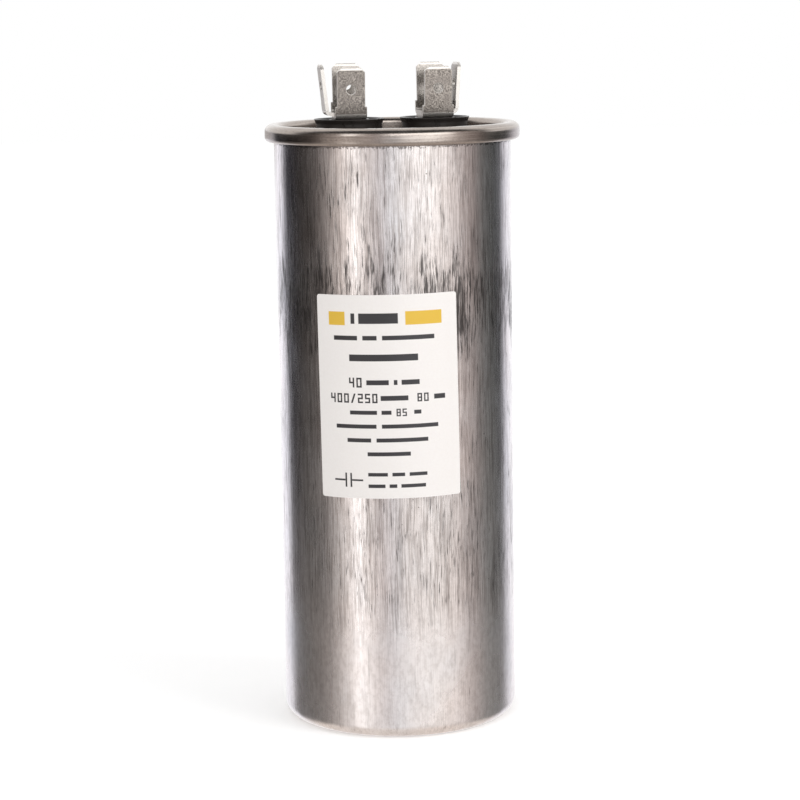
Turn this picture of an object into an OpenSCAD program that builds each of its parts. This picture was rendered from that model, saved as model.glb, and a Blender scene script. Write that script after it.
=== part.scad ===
// Round motor run capacitor: an aluminium can closed by a double-seamed lid, with two insulated
// terminals of folded quick-connect blades, and the film winding that it holds.
// The origin is the centre of the standing face, +Z up, the terminals in a line along X.

/* [Can] */
// Outside diameter of the can wall
can_d = 53.8; // [48:0.1:66]
// Height from the standing face to the top of the seam
can_h = 137; // [100:0.5:170]
// Thickness of the can wall
can_wall = 0.55; // [0.4:0.05:0.8]
// Thickness of the can floor
floor_t = 0.8; // [0.6:0.1:1.4]
// Outside radius of the heel between wall and floor
heel_r = 3; // [2:0.25:4]
// Diameter of the panel pressed up in the floor
panel_d = 36; // [20:1:38]
// Height that the floor panel is pressed up
panel_rise = 0.6; // [0.2:0.1:1.2]

/* [Double seam] */
// Height of the seam
seam_h = 3.9; // [3.4:0.1:5]
// Play between the folded layers
fold_gap = 0.1; // [0.05:0.01:0.15]
// Outside radius of the seam's two top corners
crown_r = 1.2; // [1:0.05:1.4]
// Thickness of the sealing compound under the seam's top
seal_t = 0.2; // [0.1:0.05:0.4]

/* [Lid] */
// Thickness of the lid sheet
lid_t = 0.6; // [0.45:0.05:0.8]
// Depth of the lid panel below the top of the seam
lid_sink = 5.5; // [5:0.25:8]
// Inside radius of the lid's bottom corner
lid_corner_r = 0.8; // [0.5:0.1:1.5]

/* [Terminal insulators] */
// Distance between the two terminals
terminal_spacing = 19.8; // [18:0.2:24]
// Outside diameter of an insulator cup
cup_d = 15; // [14.6:0.1:16.5]
// Width that the cup's lip stands out
cup_lip = 0.45; // [0.2:0.05:0.6]
// Height of a cup above its gasket
cup_h = 5.8; // [5:0.1:9]
// Thickness of the cup wall
cup_wall = 1; // [0.8:0.1:1.2]
// Thickness of the cup floor
cup_floor_t = 1.2; // [0.8:0.1:2]
// Diameter of the post that carries the terminal
post_d = 9; // [8:0.1:9.6]
// Distance from the post's top up to the cup's lip
post_drop = 0.1; // [0:0.1:1]
// Outside diameter of the spigot that passes through the lid
spigot_d = 6; // [5:0.1:7]
// Thickness of the rubber gasket under a cup
gasket_t = 0.8; // [0.5:0.1:1.5]
// Thickness of the insulating washer inside the lid
washer_t = 1.2; // [0.8:0.1:2]
// Diameter of the insulating washer inside the lid
washer_d = 12; // [10:0.5:16]

/* [Quick-connect blades] */
// Width of a blade
blade_w = 6.35; // [4.75, 6.35]
// Thickness of the blade sheet
blade_t = 0.8; // [0.5:0.1:1]
// Length of a blade from its shoulders to its tip
blade_l = 8.7; // [7.5:0.1:9.5]
// Height of the shoulders above the underside of the base
shoulder_h = 2.9; // [2.4:0.1:4]
// Width that each shoulder stands out beside the blade
shoulder_w = 0.4; // [0.2:0.1:0.6]
// Inside radius of the fold between base and blade
fold_r = 0.4; // [0.3:0.1:1]
// Gap between the feet of the front and back blades
blade_gap = 7; // [6.4:0.1:8]
// Angle that the front and back blades lean outwards
flare = 3; // [0:0.5:6]
// Distance from the left rivet's axis to the foot of the left outer blade
left_reach = 4.9; // [3.8:0.1:5]
// Distance from the right rivet's axis to the foot of the right outer blade
right_reach = 4.1; // [3.8:0.1:5]
// Angle that the left outer blade leans outwards
left_lean = 6; // [0:0.5:8]
// Angle that the right outer blade leans outwards
right_lean = 4; // [0:0.5:8]
// Angle that the left terminal sits turned on its rivet
left_turn = -3; // [-8:0.5:8]
// Size of the cut-off corners at a blade's tip
tip_corner = 1; // [0.6:0.1:1.6]
// Height of the thinned edge at a blade's tip
tip_bevel = 0.6; // [0.3:0.1:1]
// Depth that the thinned edge loses on each face
tip_bevel_in = 0.2; // [0.1:0.05:0.3]
// Diameter of the hole in a blade
blade_hole_d = 2.2; // [1.6:0.1:2.4]
// Distance from the blade's tip down to the hole's centre
blade_hole_drop = 4.85; // [3.5:0.05:5.5]

/* [Rivets and leads] */
// Diameter of the rivet's shank
rivet_d = 3; // [2.4:0.1:3.4]
// Diameter of the rivet's head
rivet_head_d = 4.8; // [4.2:0.1:5]
// Height of the rivet's head
rivet_head_h = 0.9; // [0.6:0.1:1.2]
// Thickness of the rivet's collar inside the lid
collar_t = 0.8; // [0.5:0.1:1.2]
// Diameter of the rivet's tip below the collar
rivet_tip_d = 2.4; // [1.8:0.1:2.4]
// Width of the flat leads
lead_w = 4; // [2.5:0.5:4.5]
// Thickness of the flat leads
lead_t = 0.4; // [0.3:0.05:0.5]

/* [Winding] */
// Radial oil space between the wrapped winding and the can
oil_gap = 1.1; // [0.9:0.1:3]
// Thickness of the wrap around the winding
wrap_t = 0.6; // [0.3:0.1:1.5]
// Thickness of the sprayed metal on each end
spray_t = 0.8; // [0.4:0.1:1.5]
// Outside diameter of the core tube
core_d = 10; // [9:0.5:14]
// Wall of the core tube
core_wall = 1.2; // [0.8:0.1:1.6]
// Length that the core stands out past each sprayed end
core_proud = 1; // [0.8:0.1:2]
// Thickness of the two end caps
cap_t = 1; // [0.8:0.1:2]
// Height of an end cap's skirt
cap_skirt_h = 6; // [3:0.5:10]
// Height of the spacer ring above the winding
spacer_h = 7; // [5:0.5:12]
// Outside diameter of the spacer ring
spacer_d = 40; // [34:1:42]
// Wall of the spacer ring
spacer_wall = 1.6; // [1:0.1:3]

/* [Pressure interrupter] */
// Thickness of the deck that holds the breakable welds
deck_t = 1.5; // [1:0.1:2.5]
// Height of the rim that holds the deck off the lid
deck_rim_h = 5; // [4:0.5:8]
// Wall of that rim
deck_rim_wall = 1.6; // [1:0.1:2.5]
// Diameter of the holes that the rivet tips pass through
deck_hole_d = 3.6; // [3:0.1:5]

/* [Label] */
// Width of the label around the can
label_w = 32.6; // [20:0.1:45]
// Height of the label
label_h = 45.4; // [20:0.1:60]
// Height of the label's lower edge
label_z = 55.1; // [20:0.1:70]
// Direction of the label's middle, turned from the front towards -X
label_turn = 15.5; // [-45:0.5:45]
// Angle that the label is stuck on askew
label_tilt = 0.8; // [-3:0.1:3]
// Radius of the label's corners
label_corner_r = 1.2; // [0.5:0.1:4]
// Thickness of the label
label_t = 0.12; // [0.08:0.01:0.2]

/* [Hidden] */
$fn = 96;
// Play between pieces that are slipped together
fit = 0.1;
// Overshoot of cutting shapes past the faces that they cut
cut = 1;

can_r = can_d / 2;
can_in_r = can_r - can_wall;

// Radii of the seam's five layers, from the lid's inner wall out to its skirt
chuck_out = can_in_r - fold_gap;
chuck_in = chuck_out - lid_t;
cover_in = can_r + fold_gap;
cover_out = cover_in + lid_t;
hook_in = cover_out + fold_gap;
hook_out = hook_in + can_wall;
skirt_in = hook_out + fold_gap;
skirt_out = skirt_in + lid_t;

// The can's hook folds over the lid's hook about one centre, and the lid's hook folds under it
// about the other
hook_fold_r = (hook_in - can_r) / 2;
hook_mid = (hook_in + can_r) / 2;
hook_z = can_h - lid_t - seal_t - can_wall - hook_fold_r;
cover_fold_r = (skirt_in - cover_out) / 2;
cover_mid = (skirt_in + cover_out) / 2;
cover_z = can_h - seam_h + lid_t + cover_fold_r;

lid_top = can_h - lid_sink;
lid_under = lid_top - lid_t;
panel_slope = panel_rise * 2;

// Heights of the stack on each terminal, from the lid up
cup_z = lid_top + gasket_t;
lip_z = cup_z + cup_h;
lower_z = lip_z - post_drop;
upper_z = lower_z + blade_t;
head_z = upper_z + blade_t;
cup_in_r = cup_d / 2 - cup_wall;
lip_h = 1.2;
lip_t = 0.5;
blade_rise = shoulder_h + blade_l;
strip_w = blade_w + 2 * shoulder_w;
base_half = blade_gap / 2 - fold_r;

// Heights inside the can, from its floor up
cap_floor_z = floor_t + panel_rise;
core_z = cap_floor_z + cap_t;
deck_z = lid_under - deck_rim_h - deck_t;
top_cap_z = deck_z - spacer_h - cap_t;
core_l = top_cap_z - core_z;
film_z = core_z + core_proud + spray_t;
film_h = core_l - 2 * (core_proud + spray_t);
wrap_r = can_in_r - oil_gap;
winding_r = wrap_r - wrap_t;
cap_r = can_in_r - 2 * fit;
core_in_r = core_d / 2 - core_wall;
deck_r = chuck_in - lid_corner_r - lid_t;
washer_z = lid_under - washer_t;
collar_z = washer_z - collar_t;
lead_pad = lead_w;
lead_out_x = terminal_spacing / 2 + lead_pad;
lead_slot_w = lead_w + 4 * fit;

// ---- Shared shapes -------------------------------------------------------------------------

// A quarter of a flat ring about the origin, from the angle start to start + 90
module quarter_ring(r_in, r_out, start) {
    rotate(start) intersection() {
        difference() {
            circle(r = r_out);
            circle(r = r_in);
        }
        square(r_out);
    }
}

// A section turned about Z
module turned() {
    rotate_extrude($fn = 180) children();
}

// A flat ring or disc standing on height z
module ring(r_out, r_in, z, h) {
    translate([0, 0, z]) linear_extrude(h) difference() {
        circle(r = r_out, $fn = 180);
        circle(r = r_in, $fn = 180);
    }
}

// The place of a terminal: side is -1 on the left and 1 on the right
module at_terminal(side) {
    translate([side * terminal_spacing / 2, 0, 0]) children();
}

// A section drawn in X and Z, carried along Y with its middle on the centre plane
module carried_y(w) {
    rotate([90, 0, 0]) linear_extrude(w, center = true) children();
}

// A section drawn outwards and up, carried along X: outwards becomes +Y
module carried_x(w) {
    rotate([90, 0, 90]) linear_extrude(w, center = true) children();
}

// ---- Can -----------------------------------------------------------------------------------

// Half section of a drum with a rounded heel, from the axis out to radius r, from z up to top
module drum_half(r, z, top, corner) {
    translate([0, z]) square([r - corner, top - z]);
    translate([0, z + corner]) square([r, top - z - corner]);
    translate([r - corner, z + corner]) circle(r = corner);
}

// Half section of the panel pressed up in the floor, standing on height z
module panel_half(z) {
    translate([0, z]) polygon([[0, 0], [panel_d / 2 + panel_slope, 0],
        [panel_d / 2, panel_rise], [0, panel_rise]]);
}

// The can's rim, curled out and down over the lid's hook
module can_hook_half() {
    translate([hook_mid, hook_z]) {
        quarter_ring(hook_fold_r, hook_fold_r + can_wall, 0);
        quarter_ring(hook_fold_r, hook_fold_r + can_wall, 90);
    }
    translate([hook_in, cover_z]) square([can_wall, hook_z - cover_z]);
    translate([hook_in + can_wall / 2, cover_z]) circle(d = can_wall);
}

module can() {
    color("#b9b8b6") turned() {
        intersection() {
            difference() {
                drum_half(can_r, 0, hook_z, heel_r);
                difference() {
                    drum_half(can_in_r, floor_t, hook_z + cut, heel_r - floor_t);
                    panel_half(floor_t);
                }
                panel_half(0);
            }
            square([can_r, hook_z]);
        }
        can_hook_half();
    }
}

// ---- Lid -----------------------------------------------------------------------------------

// The lid's sunk panel, with a rounded corner up to its wall
module lid_pan_half() {
    corner = lid_corner_r + lid_t;
    translate([0, lid_under]) square([chuck_out - corner, lid_t]);
    translate([chuck_out - corner, lid_under + corner]) quarter_ring(lid_corner_r, corner, -90);
    translate([chuck_in, lid_under + corner]) square([lid_t, can_h - crown_r - lid_under - corner]);
}

// The lid's rim: over the can's hook, down as a skirt, and tucked up inside that hook
module lid_rim_half() {
    fold_out = cover_fold_r + lid_t;
    crown_in = crown_r - lid_t;
    translate([chuck_in + crown_r, can_h - crown_r]) quarter_ring(crown_in, crown_r, 90);
    translate([chuck_in + crown_r, can_h - lid_t]) square([skirt_out - chuck_in - 2 * crown_r, lid_t]);
    translate([skirt_out - crown_r, can_h - crown_r]) quarter_ring(crown_in, crown_r, 0);
    translate([skirt_in, cover_z]) square([lid_t, can_h - crown_r - cover_z]);
    translate([cover_mid, cover_z]) {
        quarter_ring(cover_fold_r, fold_out, 180);
        quarter_ring(cover_fold_r, fold_out, 270);
    }
    translate([cover_in, cover_z]) square([lid_t, hook_z - cover_z]);
    translate([cover_in + lid_t / 2, hook_z]) circle(d = lid_t);
}

module lid() {
    color("#8f8a85") difference() {
        turned() {
            lid_pan_half();
            lid_rim_half();
        }
        for (side = [-1, 1]) {
            at_terminal(side) translate([0, 0, lid_under - cut])
                cylinder(d = spigot_d + 2 * fit, h = lid_t + 2 * cut);
        }
    }
}

// The compound that fills the space between the lid's crown and the can's hook
module seam_seal() {
    crown_in = crown_r - lid_t - fold_gap / 4;
    seal_in = chuck_out + fold_gap / 4;
    seal_out = skirt_in - fold_gap / 4;
    seal_top = can_h - lid_t - fold_gap / 4;
    seal_low = hook_z + hook_fold_r;
    color("#3f4a3c") turned() difference() {
        union() {
            translate([seal_in, seal_low]) square([seal_out - seal_in, seal_top - crown_in - seal_low]);
            translate([seal_in + crown_in, seal_low])
                square([seal_out - seal_in - 2 * crown_in, seal_top - seal_low]);
            translate([seal_in + crown_in, seal_top - crown_in]) quarter_ring(0, crown_in, 90);
            translate([seal_out - crown_in, seal_top - crown_in]) quarter_ring(0, crown_in, 0);
        }
        translate([hook_mid, hook_z]) circle(r = hook_fold_r + can_wall + fold_gap / 4);
    }
}

// ---- Label ---------------------------------------------------------------------------------

module label() {
    half_angle = label_w / can_r * 90 / PI;
    chord = 2 * can_r * sin(half_angle);
    corner = [chord / 2 - label_corner_r, label_h / 2 - label_corner_r];
    color("#f2f1ee") translate([0, 0, label_z + label_h / 2]) intersection() {
        difference() {
            cylinder(r = can_r + label_t, h = 2 * label_h, center = true, $fn = 180);
            cylinder(r = can_r, h = 2 * (label_h + cut), center = true, $fn = 180);
        }
        rotate([90, 0, -label_turn]) linear_extrude(can_d) rotate(label_tilt) {
            square([2 * corner[0], label_h], center = true);
            square([chord, 2 * corner[1]], center = true);
            for (sx = [-1, 1], sz = [-1, 1]) {
                translate([sx * corner[0], sz * corner[1]]) circle(r = label_corner_r);
            }
        }
    }
}

// ---- Terminal insulators -------------------------------------------------------------------

// The moulded cup: a flared lip, a moat, a post for the blades and a spigot through the lid
module insulator(side) {
    spigot_l = gasket_t + lid_t + washer_t;
    color("#1c1c1e") at_terminal(side) difference() {
        turned() {
            translate([0, cup_z]) square([cup_d / 2, cup_floor_t]);
            translate([0, cup_z - spigot_l]) square([spigot_d / 2, spigot_l + cut]);
            translate([0, cup_z]) square([post_d / 2, lower_z - cup_z]);
            translate([cup_in_r, cup_z]) square([cup_wall, cup_h - lip_h]);
            polygon([[cup_in_r, lip_z - lip_h], [cup_d / 2, lip_z - lip_h],
                [cup_d / 2 + cup_lip, lip_z], [cup_d / 2 + cup_lip - lip_t, lip_z]]);
        }
        translate([0, 0, cup_z - spigot_l - cut])
            cylinder(d = rivet_d + 2 * fit, h = cup_h + spigot_l + 2 * cut);
    }
}
module insulator_left() { insulator(-1); }
module insulator_right() { insulator(1); }

// The rubber ring squeezed between cup and lid
module gasket(side) {
    color("#2b2a29") at_terminal(side)
        ring(cup_d / 2 - cup_wall / 2, spigot_d / 2 + fit, lid_top, gasket_t);
}
module gasket_left() { gasket(-1); }
module gasket_right() { gasket(1); }

// The insulating washer under the lid
module inner_washer(side) {
    color("#5b3a22") at_terminal(side) ring(washer_d / 2, spigot_d / 2 + fit, washer_z, washer_t);
}
module inner_washer_left() { inner_washer(-1); }
module inner_washer_right() { inner_washer(1); }

// ---- Blades --------------------------------------------------------------------------------

// Side view of one folded strip: its base runs out from the rivet to the fold, and the blade
// rises there with its inner face at the distance reach, leaning outwards
module blade_side(reach, lean, tail) {
    fold_out = fold_r + blade_t;
    fold_u = reach - fold_r;
    translate([-tail, 0]) square([tail + fold_u, blade_t]);
    translate([fold_u, fold_out]) {
        intersection() {
            quarter_ring(fold_r, fold_out, -90);
            rotate(-lean) quarter_ring(fold_r, fold_out, -90);
        }
        tip = blade_rise - fold_out;
        rotate(-lean) polygon([[fold_r, 0], [fold_out, 0], [fold_out, tip - tip_bevel],
            [fold_out - tip_bevel_in, tip], [fold_r + tip_bevel_in, tip], [fold_r, tip - tip_bevel]]);
    }
}

// One strip with its blade narrowed above the shoulders, its corners cut and its hole punched
module blade(reach, lean, tail) {
    fold_out = fold_r + blade_t;
    tip = blade_rise - fold_out;
    difference() {
        carried_x(strip_w) blade_side(reach, lean, tail);
        translate([0, reach - fold_r, fold_out]) rotate([-lean, 0, 0]) {
            for (sx = [-1, 1]) {
                above = tip - blade_l + blade_rise / 2;
                translate([sx * (blade_w / 2 + cut), fold_r + blade_t / 2, above])
                    cube([2 * cut, 4 * blade_t, blade_rise], center = true);
                translate([sx * blade_w / 2, fold_r + blade_t / 2, tip]) rotate([0, 45, 0])
                    cube([tip_corner * sqrt(2), 4 * blade_t, tip_corner * sqrt(2)], center = true);
            }
            translate([0, fold_r - blade_t, tip - blade_hole_drop]) rotate([-90, 0, 0])
                cylinder(d = blade_hole_d, h = 3 * blade_t);
        }
    }
}

module rivet_hole() {
    translate([0, 0, -cut]) cylinder(d = rivet_d + fit, h = blade_t + 2 * cut);
}

// The lower stamping carries the front blade
module lower_blade(side, turn) {
    color("#b5aca6") at_terminal(side) rotate(turn) translate([0, 0, lower_z]) difference() {
        rotate(180) blade(blade_gap / 2, flare, base_half);
        rivet_hole();
    }
}
module lower_blade_left() { lower_blade(-1, left_turn); }
module lower_blade_right() { lower_blade(1, 0); }

// The upper stamping lies on the lower one and carries the back and the outer blade
module upper_blades(side, turn, outer_reach, outer_lean) {
    color("#bdb5af") at_terminal(side) rotate(turn) translate([0, 0, upper_z]) difference() {
        union() {
            blade(blade_gap / 2, flare, base_half - fit);
            rotate(-90 * side) blade(outer_reach, outer_lean, strip_w / 2);
        }
        rivet_hole();
        // The corner under the front blade's fold is cut free
        translate([0, -base_half + fit - strip_w, blade_t / 2])
            cube([4 * strip_w, 2 * strip_w, 2 * blade_t], center = true);
    }
}
module upper_blades_left() { upper_blades(-1, left_turn, left_reach, left_lean); }
module upper_blades_right() { upper_blades(1, 0, right_reach, right_lean); }

// ---- Rivets and leads ----------------------------------------------------------------------

// The rivet that clamps blades, cup and lid, with a thin tip down to the interrupter's weld
module rivet(side) {
    dome_r = (pow(rivet_head_d / 2, 2) + pow(rivet_head_h, 2)) / (2 * rivet_head_h);
    color("#c4c0bb") at_terminal(side) turned() {
        translate([0, head_z]) intersection() {
            translate([0, rivet_head_h - dome_r]) circle(r = dome_r);
            square([rivet_head_d / 2, rivet_head_h]);
        }
        translate([0, collar_z]) square([rivet_d / 2, head_z - collar_z]);
        translate([0, collar_z]) square([spigot_d / 2 - fit, collar_t - fit]);
        translate([0, deck_z]) square([rivet_tip_d / 2, collar_z - deck_z]);
    }
}
module rivet_left() { rivet(-1); }
module rivet_right() { rivet(1); }

// A flat lead that follows a route of straight stretches in X and Z
module strap(route) {
    color("#c9a27a") carried_y(lead_w) for (i = [1 : len(route) - 1]) {
        a = route[i - 1];
        b = route[i];
        translate(a) rotate(atan2(b[1] - a[1], b[0] - a[0])) {
            translate([0, -lead_t / 2]) square([norm(b - a), lead_t]);
            circle(d = lead_t);
        }
        translate(b) circle(d = lead_t);
    }
}

// From the sprayed top of the winding to the weld on the left rivet's tip
module lead_left() {
    low = top_cap_z - core_proud + lead_t / 2;
    high = deck_z - lead_t / 2;
    middle = (top_cap_z + cap_t + deck_z) / 2;
    strap([[-lead_out_x - lead_pad, low], [-lead_out_x, low], [-lead_out_x, middle],
        [-terminal_spacing / 2, high], [-terminal_spacing / 2 + lead_pad / 2, high]]);
}

// From the sprayed bottom, up through the core tube, to the weld on the right rivet's tip
module lead_right() {
    low = core_z + core_proud - lead_t / 2;
    high = deck_z - lead_t / 2;
    middle = (top_cap_z + cap_t + deck_z) / 2;
    strap([[core_d / 2 + 2 * lead_pad, low], [core_d / 2 - core_wall, low], [0, low],
        [0, middle], [terminal_spacing / 2, high], [terminal_spacing / 2 + lead_pad / 2, high]]);
}

// ---- Pressure interrupter ------------------------------------------------------------------

// The deck hangs below the lid on its rim. A lid that bulges pulls the rivet tips off the welds.
module interrupter_deck() {
    color("#e4dfd2") difference() {
        union() {
            ring(deck_r, 0, deck_z, deck_t);
            ring(deck_r, deck_r - deck_rim_wall, deck_z, deck_t + deck_rim_h);
        }
        for (side = [-1, 1]) {
            at_terminal(side) translate([0, 0, deck_z - cut])
                cylinder(d = deck_hole_d, h = deck_t + 2 * cut);
        }
    }
}

module spacer_ring() {
    color("#d8d4c8") ring(spacer_d / 2, spacer_d / 2 - spacer_wall, top_cap_z + cap_t, spacer_h);
}

// ---- Winding -------------------------------------------------------------------------------

// A moulded cap for one end of the winding, open upwards, with its floor on height 0
module end_cap() {
    turned() difference() {
        drum_half(cap_r, 0, cap_skirt_h, heel_r - floor_t);
        translate([0, cap_t]) square([wrap_r + fit, cap_skirt_h]);
    }
}

module top_cap() {
    color("#e9e6dc") translate([0, 0, top_cap_z]) difference() {
        translate([0, 0, cap_t]) mirror([0, 0, 1]) end_cap();
        translate([0, 0, -cut]) cylinder(r = core_in_r, h = cap_t + 2 * cut);
        translate([-lead_out_x, 0, cap_t / 2])
            cube([4 * lead_t, lead_slot_w, cap_t + 2 * cut], center = true);
    }
}

module bottom_cap() {
    color("#e9e6dc") translate([0, 0, cap_floor_z]) end_cap();
}

// The roll of metallised film
module winding() {
    color("#d9d2b8") ring(winding_r, core_d / 2, film_z, film_h);
}

module core_tube() {
    color("#c8c2b0") difference() {
        ring(core_d / 2, core_in_r, core_z, core_l);
        translate([core_d / 4, 0, core_z])
            cube([core_d, lead_slot_w, 2 * (core_proud + fit)], center = true);
    }
}

// Sprayed zinc that joins the turns at the two ends
module top_spray() {
    color("#9a9a98") ring(winding_r, core_d / 2, film_z + film_h, spray_t);
}
module bottom_spray() {
    color("#9a9a98") ring(winding_r, core_d / 2, film_z - spray_t, spray_t);
}

module winding_wrap() {
    color("#c9b98f") ring(wrap_r, winding_r, core_z, core_l);
}

can();
lid();
seam_seal();
label();
insulator_left();
insulator_right();
gasket_left();
gasket_right();
inner_washer_left();
inner_washer_right();
lower_blade_left();
lower_blade_right();
upper_blades_left();
upper_blades_right();
rivet_left();
rivet_right();
interrupter_deck();
lead_left();
lead_right();
spacer_ring();
top_cap();
winding();
core_tube();
top_spray();
bottom_spray();
winding_wrap();
bottom_cap();
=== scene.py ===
"""Looks of a round motor run capacitor: a drawn aluminium can, its double-seamed lid, two black
insulators with folded quick-connect blades, and a printed label.

The visible shell is built as new pieces that keep the frame's forms, and the blades, rivets and
insulators are copies of the frame's nodes with their edges broken. The winding and what else is
inside keep their nodes, and only get their materials here.
"""

import math
from functools import partial

import bmesh
import bpy
from mathutils import Matrix, Vector


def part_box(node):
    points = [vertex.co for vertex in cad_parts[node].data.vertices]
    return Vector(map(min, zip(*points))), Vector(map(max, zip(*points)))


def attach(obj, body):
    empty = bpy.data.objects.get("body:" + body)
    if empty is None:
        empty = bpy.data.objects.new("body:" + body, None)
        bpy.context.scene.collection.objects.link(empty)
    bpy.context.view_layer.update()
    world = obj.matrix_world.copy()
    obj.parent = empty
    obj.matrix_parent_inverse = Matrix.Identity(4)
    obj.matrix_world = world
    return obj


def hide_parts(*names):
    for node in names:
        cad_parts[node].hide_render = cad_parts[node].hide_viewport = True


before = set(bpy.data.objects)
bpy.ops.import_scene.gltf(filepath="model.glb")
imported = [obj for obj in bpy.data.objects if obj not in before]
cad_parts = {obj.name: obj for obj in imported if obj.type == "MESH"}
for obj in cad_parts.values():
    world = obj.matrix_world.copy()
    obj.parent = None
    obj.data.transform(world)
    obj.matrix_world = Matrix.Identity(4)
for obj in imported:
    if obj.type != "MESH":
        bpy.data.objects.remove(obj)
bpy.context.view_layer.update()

MM = 0.001
SIDES = ("left", "right")

# ---- Sizes that the frame gives --------------------------------------------------------------

LID_LOW, LID_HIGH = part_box("lid")
CAN_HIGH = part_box("can")[1]
LABEL_LOW, LABEL_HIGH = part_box("label")
RIVET_BOX = {side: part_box(f"rivet_{side}") for side in SIDES}

CAN_H = LID_HIGH.z
SKIRT_OUT = LID_HIGH.x
HOOK_OUT = CAN_HIGH.x

# ---- Sizes of the sheet metal and its folds --------------------------------------------------

CAN_WALL = 0.55 * MM
CAN_FLOOR = 0.8 * MM
LID_SHEET = 0.6 * MM
FOLD_GAP = 0.1 * MM
INNER_CROWN_R = 1.2 * MM
OUTER_CROWN_R = 1.6 * MM
SEAM_H = 3.9 * MM
HEEL_R = 3 * MM
PANEL_R = 18 * MM
PANEL_RISE = 0.6 * MM
LID_CORNER_R = 0.8 * MM
LID_HOLE_R = 3.1 * MM

CAN_R = HOOK_OUT - 2 * FOLD_GAP - LID_SHEET - CAN_WALL
CAN_IN_R = CAN_R - CAN_WALL
CHUCK_OUT = CAN_IN_R - FOLD_GAP
CHUCK_IN = CHUCK_OUT - LID_SHEET
SKIRT_IN = SKIRT_OUT - LID_SHEET
HOOK_IN = HOOK_OUT - CAN_WALL
COVER_OUT = HOOK_IN - FOLD_GAP
COVER_IN = COVER_OUT - LID_SHEET
HOOK_MID = (CAN_R + HOOK_IN) / 2
HOOK_FOLD_R = (HOOK_IN - CAN_R) / 2
HOOK_Z = CAN_HIGH.z - CAN_WALL - HOOK_FOLD_R
COVER_MID = (COVER_OUT + SKIRT_IN) / 2
COVER_FOLD_R = (SKIRT_IN - COVER_OUT) / 2
SKIRT_END = CAN_H - SEAM_H
COVER_Z = SKIRT_END + LID_SHEET + COVER_FOLD_R
LID_UNDER = LID_LOW.z
LID_TOP = LID_UNDER + LID_SHEET

TURN_STEPS = 256
ON_AXIS = 1e-7
CREASE = math.radians(30)

# ---- Label -----------------------------------------------------------------------------------

LABEL_W = 32.6 * MM
LABEL_H = 45.4 * MM
LABEL_T = 0.12 * MM
LABEL_CORNER_R = 0.6 * MM
LABEL_STRIPS = 72
LABEL_TURN = math.radians(15.5)
LABEL_TILT = math.radians(0.8)
LABEL_MIDDLE = (LABEL_LOW.z + LABEL_HIGH.z) / 2 + 0.25 * MM

# ---- Small tools -----------------------------------------------------------------------------

# Settings of the nodes that come up most
PLUS = {"operation": "ADD"}
LESS = {"operation": "SUBTRACT"}
TIMES = {"operation": "MULTIPLY"}
HIGHER = {"operation": "MAXIMUM"}
EVEN = {"interpolation_type": "LINEAR"}
EASED = {"interpolation_type": "SMOOTHSTEP"}
COLOUR = {"data_type": "RGBA"}


def rgba(hex_code):
    """An sRGB hex colour as linear RGBA."""
    channels = [int(hex_code[i : i + 2], 16) / 255 for i in (1, 3, 5)]
    linear = [c / 12.92 if c <= 0.04045 else ((c + 0.055) / 1.055) ** 2.4 for c in channels]
    return (*linear, 1.0)


def fill(tree, made, *values, **named):
    """Sets a node's open inputs or joins them to others, in order or by their name.

    A name is in lower case with _ for spaces. A hex code stands for its colour, and a node for
    its first open output.
    """
    inputs = [socket for socket in made.inputs if socket.enabled]
    names = [socket.name.lower().replace(" ", "_") for socket in inputs]
    chosen = [inputs[names.index(name)] for name in named]
    for socket, value in [*zip(inputs, values), *zip(chosen, named.values())]:
        if isinstance(value, bpy.types.Node):
            value = next(output for output in value.outputs if output.enabled)
        if isinstance(value, bpy.types.NodeSocket):
            tree.links.new(value, socket)
        else:
            socket.default_value = rgba(value) if isinstance(value, str) else value


def add_node(tree, kind, settings, *values, **named):
    """Adds one shader node with its settings, and fills its inputs."""
    made = tree.nodes.new(f"ShaderNode{kind}")
    for key, value in settings.items():
        setattr(made, key, value)
    fill(tree, made, *values, **named)
    return made


def new_material(name):
    """A material, ways to add a node to it and to fill its shader, and its place in mm."""
    made = bpy.data.materials.new(name)
    made.use_nodes = True
    tree = made.node_tree
    add = partial(add_node, tree)
    skin = partial(fill, tree, tree.nodes["Principled BSDF"])
    place = add("TexCoord", {}).outputs["Object"]
    return made, add, skin, add("Mapping", {}, vector=place, scale=(1 / MM,) * 3)


def marks(add, place, size_mm, stretch=(1, 1, 1), detail=2.0, roughness=0.5, shift=(0, 0, 0)):
    """Soft random marks about size_mm across, and longer by stretch along each axis."""
    scale = tuple(1 / (size_mm * s) for s in stretch)
    moved = add("Mapping", {}, vector=place, scale=scale, location=shift)
    return add("TexNoise", {}, vector=moved, scale=1.0, detail=detail, roughness=roughness)


def as_object(work, name):
    """A bmesh as an object at the origin."""
    mesh = bpy.data.meshes.new(name)
    work.to_mesh(mesh)
    work.free()
    made = bpy.data.objects.new(name, mesh)
    bpy.context.scene.collection.objects.link(made)
    return made


def dress(piece, material, slot, *nodes):
    """Gives a piece its material and its place in the frame, in the nodes' stead. Its slot is not used.
    """
    piece.data.materials.clear()
    piece.data.materials.append(material)
    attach(piece, "root")
    if nodes:
        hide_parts(*nodes)


def smooth(piece):
    """Smooth shading, with edges sharper than a crease kept crisp."""
    piece.data.shade_smooth()
    piece.data.set_sharp_from_angle(angle=CREASE)
    return piece


# ---- Turned sheet metal ----------------------------------------------------------------------


def arc(centre, radius, start_deg, end_deg, steps):
    """Points (radius, height) on an arc."""
    turn = math.radians(end_deg - start_deg) / steps
    first = math.radians(start_deg)
    return [
        (centre[0] + radius * math.cos(first + i * turn), centre[1] + radius * math.sin(first + i * turn))
        for i in range(steps + 1)
    ]


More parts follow.
